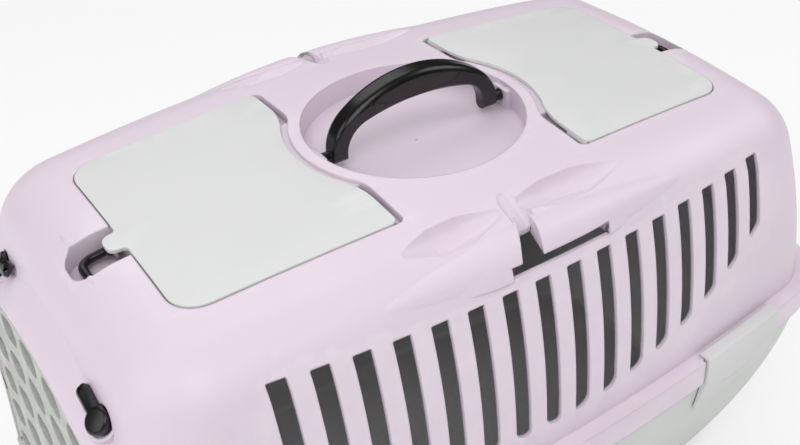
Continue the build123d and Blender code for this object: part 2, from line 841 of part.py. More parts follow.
# Door levers, each with a screw and washer that hold it to the collar
for side, name in ((-1, "left"), (1, "right")):
    seat = lever_plane(side)
    with BuildPart() as lever:
        with BuildSketch(seat.offset(lever_lift)):
            Circle(lever_hub_radius)
        extrude(amount=lever_height + 1)
        with BuildSketch(seat.offset(lever_boss_height + lever_lift)):
            with Locations((lever_reach / 2, 0)):
                Rectangle(lever_reach, lever_arm_width)
            with Locations((lever_reach, 0)):
                Circle(lever_arm_width / 2)
        extrude(amount=lever_height - lever_boss_height)
        top_edges = lever.faces().sort_by(lambda f: (f.center() - seat.origin).dot(seat.z_dir))
        fillet(top_edges[-1].edges(), lever_round)
        with BuildSketch(seat.offset(lever_lift)):
            Circle(lever_shaft_radius)
        extrude(amount=-lever_boss_depth - lever_lift - 0.3)
        with BuildSketch(seat.offset(-lever_boss_depth - 1)):
            Circle(screw_radius + 0.02)
        extrude(amount=screw_length, mode=Mode.SUBTRACT)
    lever.part.label = "door_lever_" + name
    export_step(lever.part, "parts/door_lever_" + name + ".step")
    with BuildPart() as lever_screw:
        with BuildSketch(seat.offset(-lever_boss_depth - 0.35)):
            Circle(washer_radius)
            Circle(screw_radius + 0.1, mode=Mode.SUBTRACT)
        extrude(amount=-washer_thickness)
        with BuildSketch(seat.offset(-lever_boss_depth - 0.4 - washer_thickness)):
            Circle(screw_head_radius)
        extrude(amount=-screw_head_height)
        with BuildSketch(seat.offset(-lever_boss_depth - 0.4 - washer_thickness)):
            Circle(screw_radius)
        extrude(amount=screw_length - 2)
    lever_screw.part.label = "lever_screw_" + name
    export_step(lever_screw.part, "parts/lever_screw_" + name + ".step")

# Compartment lids
for side, name in ((-1, "front"), (1, "rear")):
    with BuildPart() as lid:
        add(lid_block(side, 0, 0, -lid_rise))
        add(crown_block(lid_thickness - lid_rise, lid_radius_across), mode=Mode.SUBTRACT)
        for across in (-1, 1):
            knuckle_start = across * hinge_knuckle_start
            add(bar((side * hinge_x, knuckle_start, hinge_height), (0, across, 0),
                    hinge_knuckle_end - hinge_knuckle_start, hinge_knuckle_radius))
            add(bar((side * hinge_x, across * (hinge_pin_start - 0.4), hinge_height),
                    (0, across, 0), hinge_pin_length, hinge_pin_radius + hinge_gap),
                mode=Mode.SUBTRACT)
    lid.part.label = name + "_lid"
    export_step(lid.part, "parts/" + name + "_lid.step")

with BuildPart() as lid_hinge_pins:
    for x in (-hinge_x, hinge_x):
        for across in (-1, 1):
            add(bar((x, across * hinge_pin_start, hinge_height), (0, across, 0),
                    hinge_pin_length, hinge_pin_radius))
lid_hinge_pins.part.label = "lid_hinge_pins"
export_step(lid_hinge_pins.part, "parts/lid_hinge_pins.step")

# Carrying handle
def arch(reach, top, corner):
    """Three tangent arcs from one foot of an arch to the other, at pivot height."""
    rise = top - pivot_height
    run = reach - corner
    crest = (run ** 2 + rise ** 2 - corner ** 2) / (2 * (rise - corner))
    turn = math.atan2(crest - rise, run)
    joint = (crest * math.cos(turn), top - crest + crest * math.sin(turn))
    shoulder = (run + corner * math.cos(turn / 2), pivot_height + corner * math.sin(turn / 2))
    ThreePointArc((-reach, pivot_height), (-shoulder[0], shoulder[1]), (-joint[0], joint[1]))
    ThreePointArc((-joint[0], joint[1]), (0, top), joint)
    ThreePointArc(joint, shoulder, (reach, pivot_height))


leg_inner = handle_reach - handle_leg
leg_end = pivot_height - handle_end_radius
with BuildPart() as carrying_handle:
    with BuildSketch(Plane(origin=(0, handle_half_grip, 0), x_dir=(1, 0, 0), z_dir=(0, -1, 0))):
        with BuildLine():
            arch(handle_reach, handle_top, handle_outer_corner)
            Line((handle_reach, pivot_height), (handle_reach, leg_end))
            Line((handle_reach, leg_end), (leg_inner, leg_end))
            Line((leg_inner, leg_end), (leg_inner, pivot_height))
            arch(leg_inner, handle_opening_top, handle_inner_corner)
            Line((-leg_inner, pivot_height), (-leg_inner, leg_end))
            Line((-leg_inner, leg_end), (-handle_reach, leg_end))
            Line((-handle_reach, leg_end), (-handle_reach, pivot_height))
        make_face()
    extrude(amount=2 * handle_half_grip)
    long_edges = carrying_handle.edges().filter_by(
        lambda e: abs(abs(e.center().Y) - handle_half_grip) < 0.1
        and abs(e.tangent_at(0.5).Y) < 0.1 and e.center().Z > leg_end + 1)
    fillet(long_edges, handle_edge)
    with BuildSketch(Plane(origin=(-body_width / 2, 0, 0), x_dir=(0, 1, 0), z_dir=(1, 0, 0))):
        with BuildLine():
            Line((-handle_end_radius, pivot_height), (-handle_half_grip, handle_widening))
            Line((-handle_half_grip, handle_widening), (-handle_half_grip, tall + 40))
            Line((-handle_half_grip, tall + 40), (handle_half_grip, tall + 40))
            Line((handle_half_grip, tall + 40), (handle_half_grip, handle_widening))
            Line((handle_half_grip, handle_widening), (handle_end_radius, pivot_height))
            ThreePointArc((handle_end_radius, pivot_height), (0, pivot_height - handle_end_radius),
                          (-handle_end_radius, pivot_height))
        make_face()
    extrude(amount=body_width, mode=Mode.INTERSECT)
    for side in (-1, 1):
        add(bar((side * (handle_reach - 1), 0, pivot_height), (side, 0, 0),
                recess_radius + 0.6 - handle_reach + 1, pivot_radius))
        with BuildSketch(Plane(origin=(0, side * (handle_half_grip - inlay_depth), inlay_height),
                               x_dir=(1, 0, 0), z_dir=(0, -1, 0))):
            Ellipse(inlay_half_length, inlay_half_height)
        extrude(amount=-side * 2 * inlay_depth, mode=Mode.SUBTRACT)
carrying_handle.part.label = "carrying_handle"
export_step(carrying_handle.part, "parts/carrying_handle.step")

for side, name in ((-1, "left"), (1, "right")):
    with BuildPart() as handle_grip_inlay:
        with BuildSketch(Plane(origin=(0, side * (handle_half_grip - inlay_depth + 0.02), inlay_height),
                               x_dir=(1, 0, 0), z_dir=(0, -1, 0))):
            Ellipse(inlay_half_length - 0.05, inlay_half_height - 0.05)
        extrude(amount=-side * (inlay_depth - inlay_sink))
    handle_grip_inlay.part.label = "handle_grip_inlay_" + name
    export_step(handle_grip_inlay.part, "parts/handle_grip_inlay_" + name + ".step")

# Strap loops
for side, name in ((-1, "front"), (1, "rear")):
    half_bar = (loop_width - loop_rod) / 2
    near = tab_side - half_bar
    far = tab_side + half_bar
    outer = loop_outer_x - loop_rod / 2
    low = loop_pin_height - loop_drop
    with BuildPart() as strap_loop:
        with BuildLine() as path:
            Polyline((side * loop_pin_x, near, loop_pin_height), (side * outer, near, low),
                     (side * outer, far, low), (side * loop_pin_x, far, loop_pin_height))
            fillet(path.vertices().filter_by(lambda v: abs(v.X) > loop_pin_x + 1), loop_bend)
        leg = Vector(side * (outer - loop_pin_x), 0, -loop_drop)
        with BuildSketch(Plane(origin=(side * loop_pin_x, near, loop_pin_height), z_dir=leg)):
            Circle(loop_rod / 2)
        sweep(path=path.line)
        for eye_y in (near, far):
            eye = loop_rod / 2 + loop_eye_side
            add(bar((side * loop_pin_x, eye_y - eye, loop_pin_height), (0, 1, 0), 2 * eye,
                    loop_eye_radius))
        add(bar((side * loop_pin_x, tab_side - loop_pin_length / 2, loop_pin_height), (0, 1, 0),
                loop_pin_length, loop_pin_radius + loop_pin_gap), mode=Mode.SUBTRACT)
    strap_loop.part.label = name + "_strap_loop"
    export_step(strap_loop.part, "parts/" + name + "_strap_loop.step")

with BuildPart() as strap_loop_pins:
    for x in (-loop_pin_x, loop_pin_x):
        add(bar((x, tab_side - loop_pin_length / 2, loop_pin_height), (0, 1, 0), loop_pin_length,
                loop_pin_radius))
strap_loop_pins.part.label = "strap_loop_pins"
export_step(strap_loop_pins.part, "parts/strap_loop_pins.step")


# Side clips, hooked over the ledge and hinged on the tray
def tray_wall(height):
    """Tray wall, outward of the ledge-height cabin wall."""
    return tray_station(height, 0)[1] - half_width


hook_inner = ledge_width - clip_hook
hook_under = ledge_height + clip_gap
hook_top = hook_under + clip_plate
outer_face = ledge_width + clip_proud
clip_levels = [clip_hinge_height, 132, 143, skirt_bottom, ledge_under]
for clip_x, end_name in ((-clip_centre, "front"), (clip_centre, "rear")):
    for side, side_name in ((-1, "left"), (1, "right")):
        turn = math.asin(clip_width / 2 / side_plan_radius)
        start = math.asin(clip_x / side_plan_radius) + side * turn
        middle = Vector(0, -side * side_centre, 0)
        radial = Vector(math.sin(start), side * math.cos(start), 0)
        with BuildPart() as side_clip:
            with BuildSketch(Plane(origin=middle, x_dir=radial,
                                   z_dir=radial.cross(Vector(0, 0, 1)))):
                inner = [(tray_wall(z) + clip_wall_gap, z) for z in clip_levels]
                outline = [(hook_inner, hook_top), (outer_face, hook_top),
                           (outer_face, skirt_bottom),
                           (inner[0][0] + clip_thickness, clip_hinge_height), *inner,
                           (inner[-1][0], hook_under), (hook_inner, hook_under),
                           (hook_inner, hook_top)]
                with BuildLine():
                    Polyline(*[(side_plan_radius + out, z) for out, z in outline])
                make_face()
            revolve(axis=Axis(middle, (0, 0, 1)), revolution_arc=2 * math.degrees(turn))
            long_edges = side_clip.edges().filter_by(
                lambda e: e.center().Z > hook_top - 0.1 and e.length > clip_width - 5)
            fillet(long_edges.sort_by(lambda e: -abs(e.center().Y))[0], clip_round)
        name = end_name + "_clip_" + side_name
        side_clip.part.label = name
        export_step(side_clip.part, "parts/" + name + ".step")
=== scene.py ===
import json
import math

import bpy
from mathutils import Matrix, Vector


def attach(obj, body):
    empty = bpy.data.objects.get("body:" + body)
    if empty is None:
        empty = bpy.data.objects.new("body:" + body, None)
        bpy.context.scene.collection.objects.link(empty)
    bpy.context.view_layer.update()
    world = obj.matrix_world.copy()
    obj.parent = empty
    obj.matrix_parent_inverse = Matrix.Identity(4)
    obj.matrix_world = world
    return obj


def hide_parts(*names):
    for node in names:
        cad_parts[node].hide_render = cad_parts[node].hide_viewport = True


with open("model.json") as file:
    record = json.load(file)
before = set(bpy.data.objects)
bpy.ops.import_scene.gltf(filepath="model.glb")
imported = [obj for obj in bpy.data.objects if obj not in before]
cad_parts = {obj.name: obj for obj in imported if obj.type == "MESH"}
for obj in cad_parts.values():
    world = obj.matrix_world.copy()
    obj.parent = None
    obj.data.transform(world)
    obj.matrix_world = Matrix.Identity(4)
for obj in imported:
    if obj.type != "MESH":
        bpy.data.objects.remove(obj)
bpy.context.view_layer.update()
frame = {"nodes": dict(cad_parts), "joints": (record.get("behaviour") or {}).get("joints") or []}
nodes = frame["nodes"]
print("frame loaded:", len(nodes), "nodes")

# Studio
studio = {
    "cameraPlace": (-0.3233, -0.5323, 0.6956),
    "cameraYaw": 37.71,
    "cameraPitch": 35.94,
    "cameraRoll": 0.19,
    "lens": 48.9,
    "sensor": 36.0,
    "shiftX": -0.15,
    "clipStart": 0.01,
    "floorSize": 12.0,
    "floorDrop": 0.0005,
    "floorColor": (0.90, 0.90, 0.90, 1),
    "floorGlow": 0.55,  # how far the camera sees the floor as white
    "skyLight": 0.625,
    "mirrorLight": 0.05,  # what shiny plastic and steel mirror
    "whiteLight": 1.0,
    "lamps": [  # place, aim, size, watts
        ((-0.9, -1.3, 2.2), (0, 0, 0.2), 1.6, 22),
        ((1.7, -0.6, 1.9), (0, 0, 0.2), 1.4, 13),
        ((0.2, 1.6, 2.4), (0, 0, 0.2), 1.8, 14),
        ((-2.0, 0.1, 1.3), (0, 0, 0.2), 1.4, 10),
    ],
}


def aimAt(place, target):
    return (Vector(target) - Vector(place)).to_track_quat("-Z", "Y").to_euler()


def buildStudio():
    bpy.ops.object.select_all(action="DESELECT")
    bpy.ops.mesh.primitive_plane_add(size=studio["floorSize"], location=(0, 0, -studio["floorDrop"]))
    floor = bpy.context.object
    floor.name = "studioFloor"
    paint = bpy.data.materials.new("studioFloorPaper")
    paint.use_nodes = True
    tree = paint.node_tree
    tree.nodes.clear()
    out = tree.nodes.new("ShaderNodeOutputMaterial")
    diffuse = tree.nodes.new("ShaderNodeBsdfDiffuse")
    diffuse.inputs["Color"].default_value = studio["floorColor"]
    glow = tree.nodes.new("ShaderNodeEmission")
    glow.inputs["Strength"].default_value = studio["whiteLight"]
    mix = tree.nodes.new("ShaderNodeMixShader")
    rays = tree.nodes.new("ShaderNodeLightPath")
    share = tree.nodes.new("ShaderNodeMath")
    share.operation = "MULTIPLY"
    share.inputs[1].default_value = studio["floorGlow"]
    tree.links.new(rays.outputs["Is Camera Ray"], share.inputs[0])
    tree.links.new(share.outputs[0], mix.inputs["Fac"])
    tree.links.new(diffuse.outputs[0], mix.inputs[1])
    tree.links.new(glow.outputs[0], mix.inputs[2])
    tree.links.new(mix.outputs[0], out.inputs["Surface"])
    floor.data.materials.append(paint)

    world = bpy.data.worlds.new("studioSky")
    bpy.context.scene.world = world
    world.use_nodes = True
    sky = world.node_tree
    sky.nodes.clear()
    skyOut = sky.nodes.new("ShaderNodeOutputWorld")
    light = sky.nodes.new("ShaderNodeBackground")
    light.inputs["Strength"].default_value = studio["skyLight"]
    calm = sky.nodes.new("ShaderNodeBackground")
    calm.inputs["Strength"].default_value = studio["mirrorLight"]
    white = sky.nodes.new("ShaderNodeBackground")
    white.inputs["Strength"].default_value = studio["whiteLight"]
    path = sky.nodes.new("ShaderNodeLightPath")
    either = sky.nodes.new("ShaderNodeMath")
    either.operation = "MAXIMUM"
    blend = sky.nodes.new("ShaderNodeMixShader")
    gloss = sky.nodes.new("ShaderNodeMixShader")
    sky.links.new(path.outputs["Is Glossy Ray"], gloss.inputs["Fac"])
    sky.links.new(light.outputs[0], gloss.inputs[1])
    sky.links.new(calm.outputs[0], gloss.inputs[2])
    sky.links.new(path.outputs["Is Camera Ray"], either.inputs[0])
    sky.links.new(path.outputs["Is Transmission Ray"], either.inputs[1])
    sky.links.new(either.outputs[0], blend.inputs["Fac"])
    sky.links.new(gloss.outputs[0], blend.inputs[1])
    sky.links.new(white.outputs[0], blend.inputs[2])
    sky.links.new(blend.outputs[0], skyOut.inputs["Surface"])

    for i, (place, target, size, watts) in enumerate(studio["lamps"]):
        bpy.ops.object.light_add(type="AREA", location=place, rotation=aimAt(place, target))
        lamp = bpy.context.object
        lamp.name = "softLamp" + str(i + 1)
        lamp.data.size = size
        lamp.data.energy = watts


def buildCamera():
    yaw = math.radians(studio["cameraYaw"])
    pitch = math.radians(studio["cameraPitch"])
    forward = Vector((math.sin(yaw) * math.cos(pitch), math.cos(yaw) * math.cos(pitch), -math.sin(pitch)))
    right = Vector((math.cos(yaw), -math.sin(yaw), 0))
    up = right.cross(forward)
    turn = Matrix((right, up, -forward)).transposed()
    roll = Matrix.Rotation(math.radians(studio["cameraRoll"]), 3, "Z")
    bpy.ops.object.camera_add(location=studio["cameraPlace"], rotation=(turn @ roll).to_euler())
    camera = bpy.context.object
    camera.name = "photoCamera"
    camera.data.sensor_width = studio["sensor"]
    camera.data.lens = studio["lens"]
    camera.data.shift_x = studio["shiftX"]
    camera.data.clip_start = studio["clipStart"]
    bpy.context.scene.camera = camera


buildStudio()
buildCamera()
bpy.context.scene.view_settings.view_transform = "Standard"
print("studio and camera ready")


# Shared effects
def groupTree(name, inputs, outputs):
    tree = bpy.data.node_groups.new(name, "ShaderNodeTree")
    for label, kind, value in inputs:
        socket = tree.interface.new_socket(name=label, in_out="INPUT", socket_type=kind)
        if value is not None:
            socket.default_value = value
    for label, kind in outputs:
        tree.interface.new_socket(name=label, in_out="OUTPUT", socket_type=kind)
    return tree, tree.nodes.new("NodeGroupInput"), tree.nodes.new("NodeGroupOutput")


def mathNode(tree, operation, a, b=None, clamp=False):
    node = tree.nodes.new("ShaderNodeMath")
    node.operation = operation
    node.use_clamp = clamp
    for i, value in enumerate((a, b)):
        if value is None:
            continue
        if isinstance(value, (int, float)):
            node.inputs[i].default_value = value
        else:
            tree.links.new(value, node.inputs[i])
    return node.outputs[0]


def rangeNode(tree, value, low, high, newLow, newHigh):
    node = tree.nodes.new("ShaderNodeMapRange")
    node.inputs["From Min"].default_value = low
    node.inputs["From Max"].default_value = high
    node.inputs["To Min"].default_value = newLow
    node.inputs["To Max"].default_value = newHigh
    tree.links.new(value, node.inputs["Value"])
    return node.outputs["Result"]


def noiseNode(tree, place, scale, detail=2.0, rough=0.5):
    node = tree.nodes.new("ShaderNodeTexNoise")
    node.inputs["Detail"].default_value = detail
    node.inputs["Roughness"].default_value = rough
    if isinstance(scale, (int, float)):
        node.inputs["Scale"].default_value = scale
    else:
        tree.links.new(scale, node.inputs["Scale"])
    tree.links.new(place, node.inputs["Vector"])
    return node.outputs["Fac"]


# Moulded grain: a fine pebbled height and a slow drift of tone
pebble = {
    "scale": 1600.0,
    "fineDetail": 2.0,
    "fineRough": 0.55,
    "fineShare": 0.65,
    "coarseScale": 0.36,
    "coarseDetail": 1.0,
    "coarseShare": 0.35,
    "driftScale": 9.0,
    "driftDetail": 3.0,
    "driftRough": 0.6,
}


def mouldGrainGroup():
    tree, given, made = groupTree(
        "mouldGrain", [("Scale", "NodeSocketFloat", pebble["scale"])],
        [("Height", "NodeSocketFloat"), ("Drift", "NodeSocketFloat")])
    place = tree.nodes.new("ShaderNodeTexCoord").outputs["Object"]
    fine = noiseNode(tree, place, given.outputs["Scale"], pebble["fineDetail"], pebble["fineRough"])
    coarseScale = mathNode(tree, "MULTIPLY", given.outputs["Scale"], pebble["coarseScale"])
    coarse = noiseNode(tree, place, coarseScale, pebble["coarseDetail"])
    height = mathNode(tree, "ADD", mathNode(tree, "MULTIPLY", fine, pebble["fineShare"]),
                      mathNode(tree, "MULTIPLY", coarse, pebble["coarseShare"]))
    tree.links.new(height, made.inputs["Height"])
    drift = noiseNode(tree, place, pebble["driftScale"], pebble["driftDetail"], pebble["driftRough"])
    tree.links.new(drift, made.inputs["Drift"])
    return tree


# Worn edges: where the surface turns sharply outward, broken up by noise
rub = {
    "amount": 0.5,
    "flat": 0.505,  # pointiness of a nearly flat face
    "sharp": 0.57,  # pointiness of a fully worn edge
    "patchScale": 60.0,
    "patchDetail": 4.0,
    "patchRough": 0.6,
    "patchLow": 0.35,
    "patchHigh": 0.65,
    "patchLeast": 0.35,
}


def wornEdgeGroup():
    tree, given, made = groupTree(
        "wornEdge", [("Amount", "NodeSocketFloat", rub["amount"])], [("Mask", "NodeSocketFloat")])
    geometry = tree.nodes.new("ShaderNodeNewGeometry")
    place = tree.nodes.new("ShaderNodeTexCoord").outputs["Object"]
    sharp = rangeNode(tree, geometry.outputs["Pointiness"], rub["flat"], rub["sharp"], 0.0, 1.0)
    noise = noiseNode(tree, place, rub["patchScale"], rub["patchDetail"], rub["patchRough"])
    patches = rangeNode(tree, noise, rub["patchLow"], rub["patchHigh"], rub["patchLeast"], 1.0)
    mask = mathNode(tree, "MULTIPLY", mathNode(tree, "MULTIPLY", sharp, patches),
                    given.outputs["Amount"], clamp=True)
    tree.links.new(mask, made.inputs["Mask"])
    return tree


# Light dust: on faces that look up and in corners
film = {
    "amount": 0.1,
    "steep": 0.2,  # height of the normal where dust begins to lie
    "steepShare": 0.15,
    "cornerLow": 0.44,
    "cornerHigh": 0.5,
    "cloudScale": 14.0,
    "cloudDetail": 5.0,
    "cloudRough": 0.65,
    "cloudLow": 0.4,
    "cloudHigh": 0.75,
}


def dustGroup():
    tree, given, made = groupTree(
        "dustFilm", [("Amount", "NodeSocketFloat", film["amount"])], [("Mask", "NodeSocketFloat")])
    geometry = tree.nodes.new("ShaderNodeNewGeometry")
    place = tree.nodes.new("ShaderNodeTexCoord").outputs["Object"]
    split = tree.nodes.new("ShaderNodeSeparateXYZ")
    tree.links.new(geometry.outputs["Normal"], split.inputs[0])
    upward = rangeNode(tree, split.outputs["Z"], film["steep"], 1.0, film["steepShare"], 1.0)
    corners = rangeNode(tree, geometry.outputs["Pointiness"], film["cornerLow"], film["cornerHigh"],
                        1.0, 0.0)
    noise = noiseNode(tree, place, film["cloudScale"], film["cloudDetail"], film["cloudRough"])
    clouds = rangeNode(tree, noise, film["cloudLow"], film["cloudHigh"], 0.0, 1.0)
    both = mathNode(tree, "MAXIMUM", mathNode(tree, "MULTIPLY", upward, clouds), corners)
    mask = mathNode(tree, "MULTIPLY", both, given.outputs["Amount"], clamp=True)
    tree.links.new(mask, made.inputs["Mask"])
    return tree


mouldGrain = mouldGrainGroup()
wornEdge = wornEdgeGroup()
dustFilm = dustGroup()

# Finishes: colour, worn colour, lowest and highest roughness, grain scale and depth, wear, dust,
# radius of the softened edges, and for the shells how dark the painted shade inside the carrier is
finishes = {
    "shellLilac": {"color": (0.745, 0.640, 0.735), "worn": (0.86, 0.80, 0.85), "rough": (0.36, 0.46),
                   "grain": 1500.0, "depth": 0.05, "wear": 0.35, "dust": 0.03, "edge": 0.0016,
                   "paintedShadeTone": 0.55},
    "lidGrey": {"color": (0.690, 0.700, 0.692), "worn": (0.85, 0.86, 0.85), "rough": (0.40, 0.52),
                "grain": 1900.0, "depth": 0.10, "wear": 0.35, "dust": 0.05, "edge": 0.0007},
    "trayGrey": {"color": (0.690, 0.705, 0.690), "worn": (0.82, 0.83, 0.81), "rough": (0.42, 0.54),
                 "grain": 1500.0, "depth": 0.08, "wear": 0.4, "dust": 0.05, "edge": 0.0009,
                 "paintedShadeTone": 0.4},
    "doorGrey": {"color": (0.470, 0.485, 0.450), "worn": (0.74, 0.76, 0.72), "rough": (0.38, 0.50),
                 "grain": 1600.0, "depth": 0.06, "wear": 0.6, "dust": 0.06, "edge": 0.0012},
    "blackSatin": {"color": (0.006, 0.005, 0.006), "worn": (0.05, 0.05, 0.055), "rough": (0.20, 0.28),
                   "grain": 1300.0, "depth": 0.05, "wear": 0.35, "dust": 0.02, "edge": 0.0007},
    "gripRubber": {"color": (0.020, 0.014, 0.015), "worn": (0.06, 0.05, 0.05), "rough": (0.48, 0.62),
                   "grain": 2200.0, "depth": 0.12, "wear": 0.2, "dust": 0.03, "edge": 0.0004},
}


def mixColor(tree, factor, a, b):
    node = tree.nodes.new("ShaderNodeMix")
    node.data_type = "RGBA"
    tree.links.new(factor, node.inputs["Factor"])
    for value, socket in ((a, node.inputs["A"]), (b, node.inputs["B"])):
        if isinstance(value, tuple):
            socket.default_value = (*value, 1)
        else:
            tree.links.new(value, socket)
    return node.outputs["Result"]


# What all the plastics share
moulded = {
    "deepTone": 0.975,
    "driftLow": 0.3,
    "driftHigh": 0.7,
    "dustColor": (0.55, 0.52, 0.49),
    "dustRough": 0.3,
    "paintedShadeReach": 0.35,  # how far in metres ambient occlusion looks for walls that bring on the painted shade
    "paintedShadeDark": 0.04,
    "paintedShadeClear": 0.24,
    "samples": 4,
    "grainHeight": 0.0003,
}


def groupNode(tree, group, label, value):
    node = tree.nodes.new("ShaderNodeGroup")
    node.node_tree = group
    node.inputs[label].default_value = value
    return node


def plastic(name):
    look = finishes[name]
    paint = bpy.data.materials.new(name)
    paint.use_nodes = True
    tree = paint.node_tree
    shader = tree.nodes["Principled BSDF"]
    grain = groupNode(tree, mouldGrain, "Scale", look["grain"])
    wear = groupNode(tree, wornEdge, "Amount", look["wear"])
    dust = groupNode(tree, dustFilm, "Amount", look["dust"])
    driftLow, driftHigh = moulded["driftLow"], moulded["driftHigh"]
    deep = tuple(c * moulded["deepTone"] for c in look["color"])
    tone = rangeNode(tree, grain.outputs["Drift"], driftLow, driftHigh, 0.0, 1.0)
    drift = mixColor(tree, tone, look["color"], deep)
    worn = mixColor(tree, wear.outputs["Mask"], drift, look["worn"])
    shaded = mixColor(tree, dust.outputs["Mask"], worn, moulded["dustColor"])
    if "paintedShadeTone" in look:  # painted shade: the base colour darkens where ambient occlusion finds walls close by, inside the carrier and its slots
        shadeProbe = tree.nodes.new("ShaderNodeAmbientOcclusion")
        shadeProbe.samples = moulded["samples"]
        shadeProbe.inputs["Distance"].default_value = moulded["paintedShadeReach"]
        unshadedShare = rangeNode(tree, shadeProbe.outputs["AO"], moulded["paintedShadeDark"],
                             moulded["paintedShadeClear"], 0.0, 1.0)
        # painted shade colour: the finish's colour and deep tone scaled down, shown where ambient
        # occlusion is low
        paintedShadeColor = mixColor(tree, tone, tuple(c * look["paintedShadeTone"] for c in look["color"]),
                         tuple(c * look["paintedShadeTone"] for c in deep))
        shaded = mixColor(tree, unshadedShare, paintedShadeColor, shaded)
    tree.links.new(shaded, shader.inputs["Base Color"])
    low, high = look["rough"]
    gloss = rangeNode(tree, grain.outputs["Drift"], driftLow, driftHigh, low, high)
    dull = mathNode(tree, "MULTIPLY", dust.outputs["Mask"], moulded["dustRough"])
    tree.links.new(mathNode(tree, "ADD", gloss, dull, clamp=True), shader.inputs["Roughness"])
    softEdge = tree.nodes.new("ShaderNodeBevel")
    softEdge.samples = moulded["samples"]
    softEdge.inputs["Radius"].default_value = look["edge"]
    bump = tree.nodes.new("ShaderNodeBump")
    bump.inputs["Strength"].default_value = look["depth"]
    bump.inputs["Distance"].default_value = moulded["grainHeight"]
    tree.links.new(grain.outputs["Height"], bump.inputs["Height"])
    tree.links.new(softEdge.outputs["Normal"], bump.inputs["Normal"])
    tree.links.new(bump.outputs["Normal"], shader.inputs["Normal"])
    return paint


# Drawn steel of the rod, the pins and the screws
steel = {
    "color": (0.50, 0.50, 0.50),
    "worn": (0.75, 0.75, 0.74),
    "wear": 0.6,
    "stretch": (1, 1, 0.05),  # draws the noise out along Z into lines
    "lineScale": 900.0,
    "lineDetail": 3.0,
    "lineLow": 0.3,
    "lineHigh": 0.7,
    "rough": (0.24, 0.42),
    "depth": 0.15,
    "lineHeight": 0.0001,
}


def steelFinish():
    paint = bpy.data.materials.new("brightSteel")
    paint.use_nodes = True
    tree = paint.node_tree
    shader = tree.nodes["Principled BSDF"]
    shader.inputs["Metallic"].default_value = 1.0
    wear = groupNode(tree, wornEdge, "Amount", steel["wear"])
    place = tree.nodes.new("ShaderNodeTexCoord").outputs["Object"]
    stretch = tree.nodes.new("ShaderNodeMapping")
    stretch.inputs["Scale"].default_value = steel["stretch"]
    tree.links.new(place, stretch.inputs["Vector"])
    lines = noiseNode(tree, stretch.outputs[0], steel["lineScale"], steel["lineDetail"])
    tree.links.new(mixColor(tree, wear.outputs["Mask"], steel["color"], steel["worn"]),
                   shader.inputs["Base Color"])
    low, high = steel["rough"]
    tree.links.new(rangeNode(tree, lines, steel["lineLow"], steel["lineHigh"], low, high),
                   shader.inputs["Roughness"])
    bump = tree.nodes.new("ShaderNodeBump")
    bump.inputs["Strength"].default_value = steel["depth"]
    bump.inputs["Distance"].default_value = steel["lineHeight"]
    tree.links.new(lines, bump.inputs["Height"])
    tree.links.new(bump.outputs["Normal"], shader.inputs["Normal"])
    return paint


paints = {name: plastic(name) for name in finishes}
paints["brightSteel"] = steelFinish()
print("finishes ready:", len(paints))

# Finish of each frame node; the rod, pins and screws that aren't named get steel
nodeFinish = {
    "upper_shell": "shellLilac", "lower_shell": "trayGrey", "door": "doorGrey",
    "front_lid": "lidGrey", "rear_lid": "lidGrey",
    "door_lever_left": "blackSatin", "door_lever_right": "blackSatin",
    "carrying_handle": "blackSatin", "front_strap_loop": "blackSatin",
    "rear_strap_loop": "blackSatin",
    "handle_grip_inlay_left": "gripRubber", "handle_grip_inlay_right": "gripRubber",
    "front_clip_left": "lidGrey", "front_clip_right": "lidGrey",
    "rear_clip_left": "lidGrey", "rear_clip_right": "lidGrey",
}


def dress(thing, finish):
    thing.data.materials.clear()
    thing.data.materials.append(paints[finish])


for name, node in nodes.items():
    dress(node, nodeFinish.get(name, "brightSteel"))
print("frame nodes dressed")


# Modelling helpers
def only(thing):
    bpy.ops.object.select_all(action="DESELECT")
    thing.select_set(True)
    bpy.context.view_layer.objects.active = thing


def applyModifier(thing, kind, **settings):
    only(thing)
    modifier = thing.modifiers.new(kind.lower(), kind)
    for key, value in settings.items():
        setattr(modifier, key, value)
    bpy.ops.object.modifier_apply(modifier=modifier.name)


def selectFaces(thing, keep):
    bpy.ops.mesh.select_mode(type="FACE")
    bpy.ops.mesh.select_all(action="DESELECT")
    bpy.ops.object.mode_set(mode="OBJECT")
    for face in thing.data.polygons:
        face.select = bool(keep(face))
    bpy.ops.object.mode_set(mode="EDIT")


def facesUp(face):
    return face.normal.z > 0.9


def selectEdges(thing, edges):
    only(thing)
    places = {edge.index for edge in edges}
    bpy.ops.object.mode_set(mode="EDIT")
    bpy.ops.mesh.select_mode(type="EDGE")
    bpy.ops.mesh.select_all(action="DESELECT")
    bpy.ops.object.mode_set(mode="OBJECT")
    for edge in thing.data.edges:
        edge.select = edge.index in places
    bpy.ops.object.mode_set(mode="EDIT")


def finishPiece(thing, body, finish, angle):
    only(thing)
    dress(thing, finish)
    bpy.ops.object.shade_smooth_by_angle(angle=math.radians(angle))
    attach(thing, body)


# Copies of frame nodes with rounded edges: what counts as one point, as flat and as sharp
copying = {"merge": 0.00001, "flatAngle": 0.6, "sharpAngle": 32, "smoothAngle": 35}


def roundedCopy(nodeName, newName, body, finish, width, segments):
    piece = bpy.data.objects.new(newName, nodes[nodeName].data.copy())
    bpy.context.scene.collection.objects.link(piece)
    only(piece)
    bpy.ops.object.mode_set(mode="EDIT")
    bpy.ops.mesh.select_all(action="SELECT")
    bpy.ops.mesh.remove_doubles(threshold=copying["merge"])
    bpy.ops.mesh.customdata_custom_splitnormals_clear()
    bpy.ops.mesh.dissolve_limited(angle_limit=math.radians(copying["flatAngle"]))
    bpy.ops.object.mode_set(mode="OBJECT")
    applyModifier(piece, "BEVEL", width=width, segments=segments, limit_method="ANGLE",
                  angle_limit=math.radians(copying["sharpAngle"]), use_clamp_overlap=True,
                  miter_outer="MITER_ARC")
    finishPiece(piece, body, finish, copying["smoothAngle"])
    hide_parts(nodeName)
    print("rounded", newName, len(piece.data.polygons), "faces")


